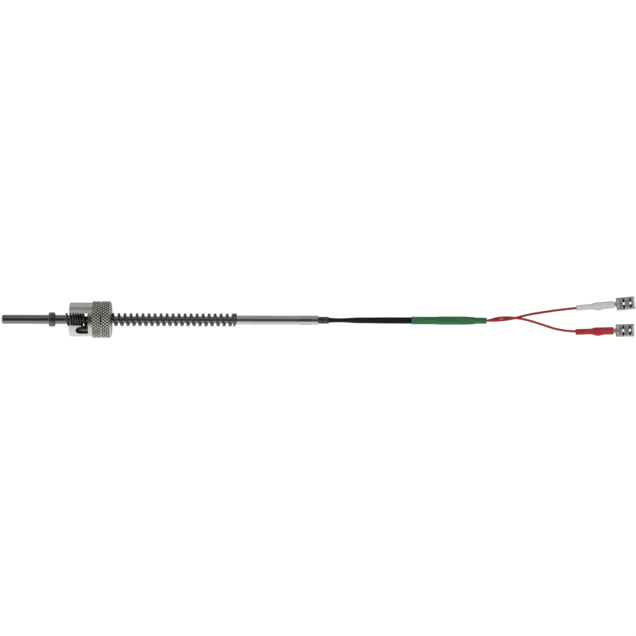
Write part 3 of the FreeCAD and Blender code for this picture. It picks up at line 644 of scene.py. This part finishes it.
cap_body = loose_copy("bayonet_cap", "cap_body")
for vertex in cap_body.data.vertices:
    reach = math.hypot(vertex.co.y, vertex.co.z)
    if reach > BAND_BODY_RADIUS:
        vertex.co.y *= BAND_BODY_RADIUS / reach
        vertex.co.z *= BAND_BODY_RADIUS / reach
cap_body.data.polygons.foreach_set("use_smooth", [True] * len(cap_body.data.polygons))
cap_body.data.set_sharp_from_angle(angle=CAP_SHARP_EDGE)
# The round faces are shaded as true cylinders, so that no triangle shows in the reflections.
cap_normals = [corner.vector.copy() for corner in cap_body.data.corner_normals]
for face in cap_body.data.polygons:
    outward = Vector((0, face.center.y, face.center.z)).normalized()
    facing = face.normal.dot(outward)
    if abs(facing) > ROUND_FACE:
        for corner in face.loop_indices:
            place = cap_body.data.vertices[cap_body.data.loops[corner].vertex_index].co
            cap_normals[corner] = Vector((0, place.y, place.z)).normalized() * (
                1 if facing > 0 else -1
            )
cap_body.data.normals_split_custom_set(cap_normals)
cap_body.data.materials.clear()
cap_body.data.materials.append(nickel)
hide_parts("bayonet_cap")
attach(cap_body, "cap")

for index in range(2):
    knurl = grown(
        f"cap_knurl_{index + 1}",
        knurl_tree,
        {
            "Teeth": KNURL_TEETH,
            "Rows": KNURL_ROWS,
            "Root Radius": KNURL_ROOT,
            "End Radius": BAND_BODY_RADIUS - 0.05 * MM,
            "Depth": KNURL_DEPTH,
            "Start": CAP_FRONT + CAP_BODY + index * (KNURL_BAND + KNURL_GAP),
            "Length": KNURL_BAND,
            "Material": knurl_plate,
        },
    )
    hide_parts("bayonet_cap")
    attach(knurl, "cap")

# ---------------------------------------------------------------- rear tube
# Polished steel ferrule over the core's end and the cable's start, crimped on six flats. Inside
# it are the potting, and a two-bore ceramic bead where the core's wires meet the cable's.

bright_steel = turned_metal("polished_steel", (0.66, 0.66, 0.66), (0.58, 0.58, 0.585), 0.13)
paint("rear_tube", bright_steel)


def matt(name, colour, other, roughness, grain):
    """A dull moulded or cast finish with fine grain."""
    material, tree, shader = new_material(name, Roughness=roughness)
    specks = noise(tree, stretched(tree, "Object", (1, 1, 1)), grain, 3.0)
    tree.links.new(blended(tree, specks, colour, other), shader.inputs["Base Color"])
    bumped(tree, shader, specks, 0.2, 0.03 * MM)
    return material


paint("potting_compound", matt("cured_potting", (0.10, 0.08, 0.07), (0.06, 0.05, 0.045), 0.5, 1500))
paint("joint_insulator", matt("ceramic_bead", (0.88, 0.86, 0.80), (0.78, 0.75, 0.68), 0.7, 2500))

# ---------------------------------------------------------------- clear end sleeve
# A short translucent sleeve shrunk on the cable where it enters the ferrule, held by the crimp.
# The black cable shows through it, and its cut end catches the light.

sleeve_clear, clear_tree, clear_shader = new_material(
    "clear_sleeve", IOR=1.42, Transmission_Weight=0.35, Roughness=0.2
)
haze = scaled(
    clear_tree,
    noise(clear_tree, stretched(clear_tree, "Object", (500, 900, 900)), 1.0, 3.0),
    0.42,
    0.66,
    0.0,
    1.0,
)
clear_tree.links.new(
    blended(clear_tree, haze, (0.03, 0.035, 0.05), (0.17, 0.18, 0.21)),
    clear_shader.inputs["Base Color"],
)
bumped(clear_tree, clear_shader, haze, 0.15, 0.04 * MM)
paint("cable_end_sleeve", sleeve_clear)

# ---------------------------------------------------------------- cable
# Flat two-core cable in soft black rubber. It rolls onto its edge just past the ferrule and
# back again, then lies flat on the table. Its cores are stranded copper.

CABLE_POINTS = [
    (0.1190, 0, 0), (0.1315, 0, 0), (0.1440, 0, -0.0030), (0.1535, 0, -0.0060),
    (0.1610, 0, -0.00643), (0.1682, 0, -0.00643),
]  # fmt: skip
CABLE_HALF_HEIGHT = 0.95 * MM
CABLE_HALF_WIDTH = 1.35 * MM
PRESSED_HALF_WIDTH = 1.46 * MM
PRESSED_FROM, PRESSED_TO = 0.143, 0.152
CABLE_GROOVE = 0.07 * MM
ROLL_START, ROLL_EDGE, ROLL_END = 118.0 * MM, 130.4 * MM, 142.5 * MM
CORE_OFFSET = 0.62 * MM
CORE_RADIUS = 0.28 * MM
CORE_SIDES = 12
CORE_END = 181.2 * MM
CUT_EDGE = math.radians(50)


def cord_line(name, points):
    """The cord's line as a curve, and the places along it."""
    curve = bpy.data.curves.new(name, "CURVE")
    curve.dimensions = "3D"
    curve.resolution_u = 16
    spline = curve.splines.new("NURBS")
    spline.points.add(len(points) - 1)
    for control, place in zip(spline.points, points):
        control.co = (*place, 1)
    spline.order_u = 3
    spline.use_endpoint_u = True
    made = bpy.data.objects.new(name, curve)
    bpy.context.collection.objects.link(made)
    depsgraph = bpy.context.evaluated_depsgraph_get()
    flat = bpy.data.meshes.new_from_object(made.evaluated_get(depsgraph), depsgraph=depsgraph)
    places = [vertex.co.copy() for vertex in flat.vertices]
    bpy.data.meshes.remove(flat)
    return made, places


def line_length(places):
    return sum((second - first).length for first, second in zip(places, places[1:]))


def smooth_step(value, low, high):
    share = min(max((value - low) / (high - low), 0.0), 1.0)
    return share * share * (3 - 2 * share)


def two_core_outline(half_width, half_height, groove, points=28):
    """A flat outline round two cores with a groove between them. Equal halves make a circle."""
    core_offset = half_width - half_height
    outline = []
    for index in range(points):
        angle = 2 * math.pi * index / points
        across = half_width * math.cos(angle)
        beyond = max(abs(across) - core_offset, 0.0)
        height = math.sqrt(max(half_height**2 - beyond**2, 0.0))
        if core_offset > 0:
            height -= groove * (1 - smooth_step(abs(across), 0.0, 0.8 * core_offset))
        outline.append((across, math.copysign(height, math.sin(angle))))
    return outline


def ring_at(place, direction, outline, roll=0.0):
    """The outline's points in space, square to the direction, turned by the roll."""
    side = Vector((-direction.y, direction.x, 0)).normalized()
    up = direction.cross(side).normalized()
    wide = side * math.cos(roll) + up * math.sin(roll)
    tall = up * math.cos(roll) - side * math.sin(roll)
    return [place + wide * across + tall * height for across, height in outline]


def lofted(name, rings, material, hollow=False):
    """A closed skin over rings of points. A hollow one runs back inside and joins its start."""
    work = bmesh.new()
    corners = [[work.verts.new(point) for point in ring] for ring in rings]
    pairs = list(zip(corners, corners[1:]))
    if hollow:
        pairs.append((corners[-1], corners[0]))
    else:
        work.faces.new(corners[0])
        work.faces.new(corners[-1])
    for first, second in pairs:
        for index, corner in enumerate(first):
            after = (index + 1) % len(first)
            work.faces.new((corner, first[after], second[after], second[index]))
    bmesh.ops.recalc_face_normals(work, faces=work.faces)
    mesh = bpy.data.meshes.new(name)
    work.to_mesh(mesh)
    work.free()
    mesh.materials.append(material)
    mesh.polygons.foreach_set("use_smooth", [True] * len(mesh.polygons))
    mesh.set_sharp_from_angle(angle=CUT_EDGE)
    made = bpy.data.objects.new(name, mesh)
    bpy.context.collection.objects.link(made)
    return made


def along_line(places):
    """Each place on the line with the line's direction there."""
    for index, place in enumerate(places):
        before, after = places[max(index - 1, 0)], places[min(index + 1, len(places) - 1)]
        yield place, (after - before).normalized()


def dull_skin(name, colour, other, roughness, streak, relief, shine=0.5):
    """Rubber or plastic drawn along X: lengthwise streaks in its colour and its surface."""
    material, tree, shader = new_material(name, Specular_IOR_Level=shine)
    streaks = noise(tree, stretched(tree, "Object", streak), 1.0, 4.0)
    share = scaled(tree, streaks, 0.35, 0.65, 0.0, 1.0)
    tree.links.new(blended(tree, share, colour, other), shader.inputs["Base Color"])
    tree.links.new(
        scaled(tree, streaks, 0.3, 0.7, roughness * 0.85, roughness * 1.2),
        shader.inputs["Roughness"],
    )
    bumped(tree, shader, streaks, relief, 0.08 * MM)
    return material


copper = turned_metal("stranded_copper", (0.72, 0.42, 0.28), (0.55, 0.30, 0.19), 0.28, 400.0, 0.4)
paint("white_branch_strands", copper)
paint("red_branch_strands", copper)

black_rubber = dull_skin(
    "black_rubber", (0.004, 0.005, 0.008), (0.010, 0.011, 0.015), 0.5, (160, 1500, 1500), 0.3, 0.18
)
cable_line, cable_places = cord_line("cable_line", CABLE_POINTS)
bpy.data.objects.remove(cable_line)
core_places = cable_places + [Vector((CORE_END, 0, cable_places[-1].z))]
cable_rings = []
core_rings = {1: [], -1: []}
for place, direction in along_line(core_places):
    pressed = smooth_step(place.x, PRESSED_FROM, PRESSED_TO)
    half_width = CABLE_HALF_WIDTH + (PRESSED_HALF_WIDTH - CABLE_HALF_WIDTH) * pressed
    rolled = smooth_step(place.x, ROLL_START, ROLL_EDGE) - smooth_step(place.x, ROLL_EDGE, ROLL_END)
    roll = rolled * math.pi / 2
    if place.x <= cable_places[-1].x:
        outline = two_core_outline(half_width, CABLE_HALF_HEIGHT, CABLE_GROOVE)
        cable_rings.append(ring_at(place, direction, outline, roll))
    for side, rings in core_rings.items():
        circle = two_core_outline(CORE_RADIUS, CORE_RADIUS, 0.0, CORE_SIDES)
        shifted = [(across + side * CORE_OFFSET, height) for across, height in circle]
        rings.append(ring_at(place, direction, shifted, roll))
for side, node in ((1, "cable_conductor_positive"), (-1, "cable_conductor_negative")):
    core = lofted(f"{node}_strands", core_rings[side], copper)
    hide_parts(node)
    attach(core, "probe")
cable = lofted("flat_cable", cable_rings, black_rubber)
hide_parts("cable_jacket")
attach(cable, "probe")

# ---------------------------------------------------------------- splices and joint sleeve
# Two tinned crimp barrels join the cable's cores to the branch leads. Green heat-shrink sleeve
# is shrunk over both: it bulges over the barrels and closes down on the leads.

SLEEVE_START = 162.8 * MM
SLEEVE_LEVEL = -6.43 * MM
SLEEVE_WALL = 0.25
SLEEVE_SIDES = 32
SLEEVE_FLATNESS = 0.97
# Half-widths by distance from the start. Stations and walls are in mm.
SLEEVE_STATIONS = [
    (0.0, 1.72), (10.3, 1.72), (13.0, 1.87), (24.2, 1.87), (26.9, 1.72), (29.6, 1.40), (33.8, 1.40)
]  # fmt: skip


def width_at(stations, along):
    """The half-width at a place along, rounded off between the stations. Both in mm."""
    for (start, first), (end, second) in zip(stations, stations[1:]):
        if along <= end:
            return first + (second - first) * smooth_step(along, start, end)
    return stations[-1][1]


def sleeve_rings(length, step, wall, ring, *fit):
    """Rings along a sleeve's outside, then back along its inside one wall further in."""
    steps = round(length / step)
    places = [length * index / steps for index in range(steps + 1)]
    outside = [ring(along, 0.0, *fit) for along in places]
    return outside + [ring(along, wall, *fit) for along in places[::-1]]


splice_tin = turned_metal("tinned_brass", (0.70, 0.69, 0.66), (0.58, 0.57, 0.53), 0.22, 500.0)
paint("splice_barrel_positive", splice_tin)
paint("splice_barrel_negative", splice_tin)

green_shrink = dull_skin(
    "green_shrink_sleeve",
    (0.009, 0.120, 0.028),
    (0.030, 0.180, 0.070),
    0.42,
    (110, 1400, 1400),
    0.45,
    0.36,
)


def joint_ring(along, wall):
    half_width = (width_at(SLEEVE_STATIONS, along) - wall) * MM
    outline = two_core_outline(half_width, half_width * SLEEVE_FLATNESS, 0.0, SLEEVE_SIDES)
    place = Vector((SLEEVE_START + along * MM, 0, SLEEVE_LEVEL))
    return ring_at(place, Vector((1, 0, 0)), outline)


joint_sleeve = lofted(
    "green_sleeve",
    sleeve_rings(SLEEVE_STATIONS[-1][0], 0.5, SLEEVE_WALL, joint_ring),
    green_shrink,
    hollow=True,
)
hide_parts("green_joint_sleeve")
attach(joint_sleeve, "probe")

# ---------------------------------------------------------------- branch leads
# Two thin stranded leads in red plastic insulation. They cross where they leave the joint
# sleeve, then open out and lie on the table up to their receptacles.

WHITE_BRANCH_POINTS = [
    (0.1856, 0.00080, -0.00643), (0.1892, 0.00080, -0.00643), (0.1932, 0.00036, -0.00598),
    (0.1974, -0.00002, -0.00588), (0.2026, 0.00010, -0.00662), (0.2088, 0.00095, -0.00776),
    (0.2152, 0.00278, -0.00772), (0.2225, 0.00395, -0.00768), (0.2299, 0.00505, -0.00750),
    (0.23859, 0.005994, -0.00655), (0.24705, 0.006808, -0.00655),
]  # fmt: skip
RED_BRANCH_POINTS = [
    (0.1856, -0.00080, -0.00643), (0.1892, -0.00080, -0.00643), (0.1932, -0.00036, -0.00688),
    (0.1974, 0.00002, -0.00702), (0.2026, 0.00156, -0.00722), (0.2088, 0.00146, -0.00638),
    (0.2148, 0.00050, -0.00700), (0.2212, -0.00150, -0.00770), (0.2293, -0.00415, -0.00750),
    (0.23830, -0.004898, -0.00655), (0.24679, -0.004601, -0.00655),
]  # fmt: skip
LEAD_RADIUS = 0.54 * MM
LEAD_ROUNDING = 4

red_insulation = dull_skin(
    "red_insulation", (0.40, 0.018, 0.034), (0.32, 0.012, 0.026), 0.42, (300, 900, 900), 0.15, 0.28
)
leads = {}
for name, points in (("white_branch", WHITE_BRANCH_POINTS), ("red_branch", RED_BRANCH_POINTS)):
    lead, lead_places = cord_line(f"{name}_insulated_lead", points)
    lead.data.bevel_depth = LEAD_RADIUS
    lead.data.bevel_resolution = LEAD_ROUNDING
    lead.data.use_fill_caps = True
    lead.data.materials.append(red_insulation)
    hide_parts(f"{name}_lead")
    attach(lead, "probe")
    leads[name] = (lead, line_length(lead_places))

# ---------------------------------------------------------------- receptacles
# Push-on receptacles stamped from tinned brass sheet. One barrel is crimped on the insulation,
# one on the strands, and the box's rolled edges grip a flat tab.

WHITE_BOOT_PLACE, WHITE_BOOT_TURN = Vector((0.2371, 0.00585, -0.00655)), math.radians(5.5)
RED_BOOT_PLACE, RED_BOOT_TURN = Vector((0.2368, -0.00495, -0.00655)), math.radians(2.0)
BOX_FROM = 18.2 * MM
BOX_SWELL = 1.09
BOX_RUN_IN = 1.0 * MM
INSIDE_HALF_WIDTH = 2.2 * MM
INSIDE_BOTTOM = -1.6 * MM
PLATE_LEVEL = 0.3 * MM
PLATE_MIDDLE = (1.3 * MM, 2.3 * MM)
NECK = (16.6 * MM, 17.2 * MM)
SHOULDER = (18.3 * MM, 19.1 * MM)
LIP = (25.4 * MM, 26.6 * MM)
SHOULDER_DROP = 0.55 * MM
SHOULDER_BOW, SHOULDER_BOW_AT = 0.5 * MM, 1.7 * MM
LIP_DROP = 0.6 * MM
# Where the plate is divided so that it can bend: along and across, in mm.
PLATE_SEAMS = (18.2, 18.5, 18.8, 19.1, 19.5, 25.4, 25.7, 26.0)
SHEET_EDGE = math.radians(35)
PLATE_STRIPS = (-2.1, -1.6, -0.9, 0.0, 0.9, 1.6, 2.1)

receptacle_tin, tin_tree, tin_shader = new_material(
    "stamped_tinned_brass", Metallic=0.72, Roughness=0.26
)
tin_cloud = noise(tin_tree, stretched(tin_tree, "Object", (700, 700, 700)), 1.0, 4.0)
tin_share = scaled(tin_tree, tin_cloud, 0.35, 0.65, 0.0, 1.0)
plate_tin = blended(tin_tree, tin_share, (0.40, 0.40, 0.40), (0.62, 0.62, 0.61))
# Painted shade: the sheet inside the box, under the plate, is made near black.
box_shade_mask = add(tin_tree, "ShaderNodeAttribute", {"attribute_name": "inside"})
shadowed = add(
    tin_tree,
    "ShaderNodeMix",
    {"data_type": "RGBA"},
    {"Factor": box_shade_mask.outputs["Fac"], 6: plate_tin},
)
shadowed.inputs[7].default_value = (0.05, 0.05, 0.05, 1)
tin_tree.links.new(shadowed.outputs[2], tin_shader.inputs["Base Color"])
bumped(tin_tree, tin_shader, tin_cloud, 0.12, 0.04 * MM)


def pressed_receptacle(node, place, turn):
    """The receptacle with its box full width, and its plate pressed down at both ends."""
    made = loose_copy(node, f"{node}_pressed")
    along = Vector((math.cos(turn), math.sin(turn), 0))
    side = Vector((-math.sin(turn), math.cos(turn), 0))
    work = bmesh.new()
    work.from_mesh(made.data)
    seams = [(along, distance) for distance in PLATE_SEAMS]
    seams += [(side, distance) for distance in PLATE_STRIPS]
    for direction, distance in seams:
        bmesh.ops.bisect_plane(
            work,
            geom=work.verts[:] + work.edges[:] + work.faces[:],
            dist=0.001 * MM,
            plane_co=place + direction * distance * MM,
            plane_no=direction,
        )
    # Marks the sheet inside the box, under the plate, for the painted shade.
    inside = work.verts.layers.float.new("inside")
    for vertex in work.verts:
        offset = vertex.co - place
        forward, sideways = offset.dot(along), offset.dot(side)
        swell = 1 + (BOX_SWELL - 1) * smooth_step(forward, BOX_FROM - BOX_RUN_IN, BOX_FROM)
        middle = 1 - smooth_step(abs(sideways), *PLATE_MIDDLE)
        bow = SHOULDER_BOW * (sideways / SHOULDER_BOW_AT) ** 2
        drop = 0.0
        if offset.z > PLATE_LEVEL:
            drop = LIP_DROP * smooth_step(forward, *LIP)
            before = smooth_step(forward, *NECK)
            drop += SHOULDER_DROP * before * (1 - smooth_step(forward - bow, *SHOULDER))
        elif (
            forward > BOX_FROM
            and abs(sideways) < INSIDE_HALF_WIDTH
            and offset.z > INSIDE_BOTTOM
        ):
            vertex[inside] = 1.0
        vertex.co += side * sideways * (swell - 1)
        vertex.co.z -= drop * middle
    work.to_mesh(made.data)
    work.free()
    made.data.polygons.foreach_set("use_smooth", [True] * len(made.data.polygons))
    made.data.set_sharp_from_angle(angle=SHEET_EDGE)
    made.data.materials.clear()
    made.data.materials.append(receptacle_tin)
    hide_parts(node)
    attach(made, "probe")
    return made


receptacles = {
    "white_branch": pressed_receptacle(
        "white_branch_receptacle", WHITE_BOOT_PLACE, WHITE_BOOT_TURN
    ),
    "red_branch": pressed_receptacle("red_branch_receptacle", RED_BOOT_PLACE, RED_BOOT_TURN),
}

# ---------------------------------------------------------------- boots
# Soft plastic sleeves pushed over the crimps, one white and one red to tell the wires apart.
# Each is narrow on its lead, swells over the insulation barrel, and ends just short of the box.

BOOT_WALL = 0.34
BOOT_HALF_HEIGHT = 1.7
FAR_SIDE = [(0.0, 1.24), (6.6, 1.24), (8.6, 1.66), (17.0, 1.62)]
NEAR_SIDE = [(0.0, 1.24), (6.9, 1.24), (9.6, 1.98), (10.4, 1.98), (12.8, 1.58), (17.0, 1.62)]

white_sleeving = dull_skin(
    "white_sleeving", (0.64, 0.645, 0.635), (0.58, 0.585, 0.58), 0.45, (250, 700, 700), 0.12, 0.4
)
red_sleeving = dull_skin(
    "red_sleeving", (0.47, 0.024, 0.044), (0.36, 0.015, 0.028), 0.38, (250, 700, 700), 0.25, 0.3
)


def boot_ring(along, wall, place, direction, side, extra):
    far = width_at(FAR_SIDE, along) + extra - wall
    near = width_at(NEAR_SIDE, along) + extra - wall
    half_width = (far + near) / 2
    half_height = min(half_width, BOOT_HALF_HEIGHT)
    outline = two_core_outline(half_width * MM, half_height * MM, 0.0, SLEEVE_SIDES)
    middle = place + direction * along * MM + side * (far - near) / 2 * MM
    return ring_at(middle, direction, outline)


for name, place, turn, finish, slot, extra in (
    ("white_branch", WHITE_BOOT_PLACE, WHITE_BOOT_TURN, white_sleeving, "white_sleeving", 0.0),
    ("red_branch", RED_BOOT_PLACE, RED_BOOT_TURN, red_sleeving, "red_sleeving", 0.10),
):
    direction = Vector((math.cos(turn), math.sin(turn), 0))
    side = Vector((-math.sin(turn), math.cos(turn), 0))
    boot_rings = sleeve_rings(
        FAR_SIDE[-1][0], 0.4, BOOT_WALL + extra, boot_ring, place, direction, side, extra
    )
    boot = lofted(f"{name}_sleeving", boot_rings, finish, hollow=True)
    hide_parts(f"{name}_boot")
    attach(boot, "probe")
    lead, lead_length = leads[name]
